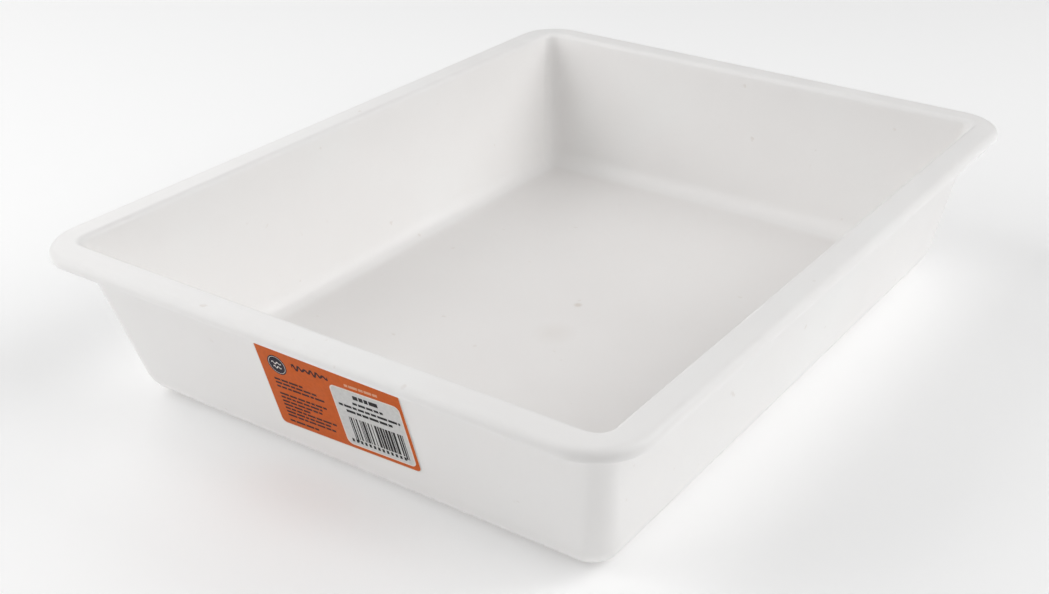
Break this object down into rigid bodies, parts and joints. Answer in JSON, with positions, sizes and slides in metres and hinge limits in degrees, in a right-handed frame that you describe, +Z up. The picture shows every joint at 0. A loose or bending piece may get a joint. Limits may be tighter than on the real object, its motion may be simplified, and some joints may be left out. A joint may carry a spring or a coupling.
{
  "type": "paint roller tray",
  "caption": "Deep rectangular tray with a flat floor, leaning walls, rounded corners and a flanged rim, and a printed sticker on one end.",
  "frame": {"origin": "middle of the base, on its underside", "axes": "+Z up, +Y along the tray away from the end with the sticker, +X across the tray"},
  "size_m": [0.288, 0.368, 0.075],
  "materials": {
    "tray_plastic": "satin white polypropylene, slightly milky",
    "sticker_film": "printed film, semi-gloss burnt orange"
  },
  "bodies": {
    "root": {"tray": "tray_plastic", "label": "sticker_film"}
  },
  "joints": []
}
